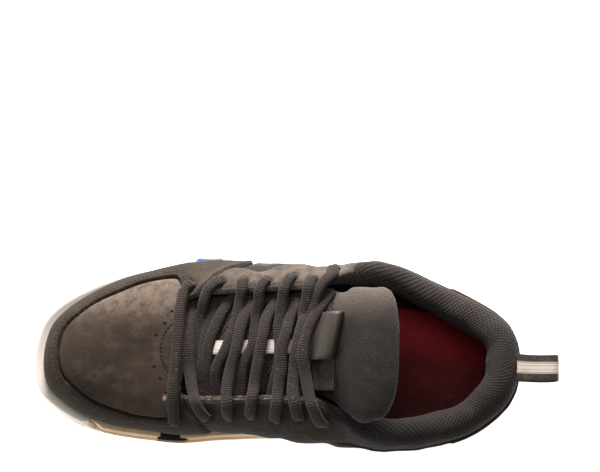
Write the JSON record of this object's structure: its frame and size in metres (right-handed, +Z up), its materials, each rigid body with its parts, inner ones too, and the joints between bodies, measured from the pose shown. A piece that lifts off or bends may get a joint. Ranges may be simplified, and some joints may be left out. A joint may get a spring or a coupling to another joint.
{
  "type": "skateboarding shoe",
  "caption": "Low padded skateboarding shoe for the right foot, with cup sole, side inserts, hollow upper, tongue, insole, laces, lace keeper and heel pull loop.",
  "frame": {"origin": "on the floor at the middle of the heel's flat tread", "axes": "+X to the toe, +Y to the inner (medial) side of the right shoe, +Z up"},
  "size_m": [0.3131, 0.1195, 0.1201],
  "materials": {
    "cream_rubber": "matt off-white rubber",
    "gum_midsole": "matt tan rubber",
    "blue_insert": "satin light blue plastic",
    "black_insert": "satin black plastic",
    "nubuck": "dark brown nubuck with fine nap",
    "tongue_cloth": "twill weave over foam",
    "insole_cloth": "dark red brushed cloth",
    "lace_cloth": "ribbed flat oval lace",
    "keeper": "smooth matt rubber",
    "webbing": "ribbed webbing, dark edges and pale middle"
  },
  "bodies": {
    "root": {"outsole": "cream_rubber", "midsole": "gum_midsole", "lateral_insert": "blue_insert", "medial_insert": "black_insert", "upper": "nubuck", "tongue": "tongue_cloth", "insole": "insole_cloth", "laces_1": "lace_cloth", "laces_2": "lace_cloth", "laces_3": "lace_cloth", "laces_4": "lace_cloth", "laces_5": "lace_cloth", "lace_keeper": "keeper", "pull_loop": "webbing"}
  },
  "joints": []
}
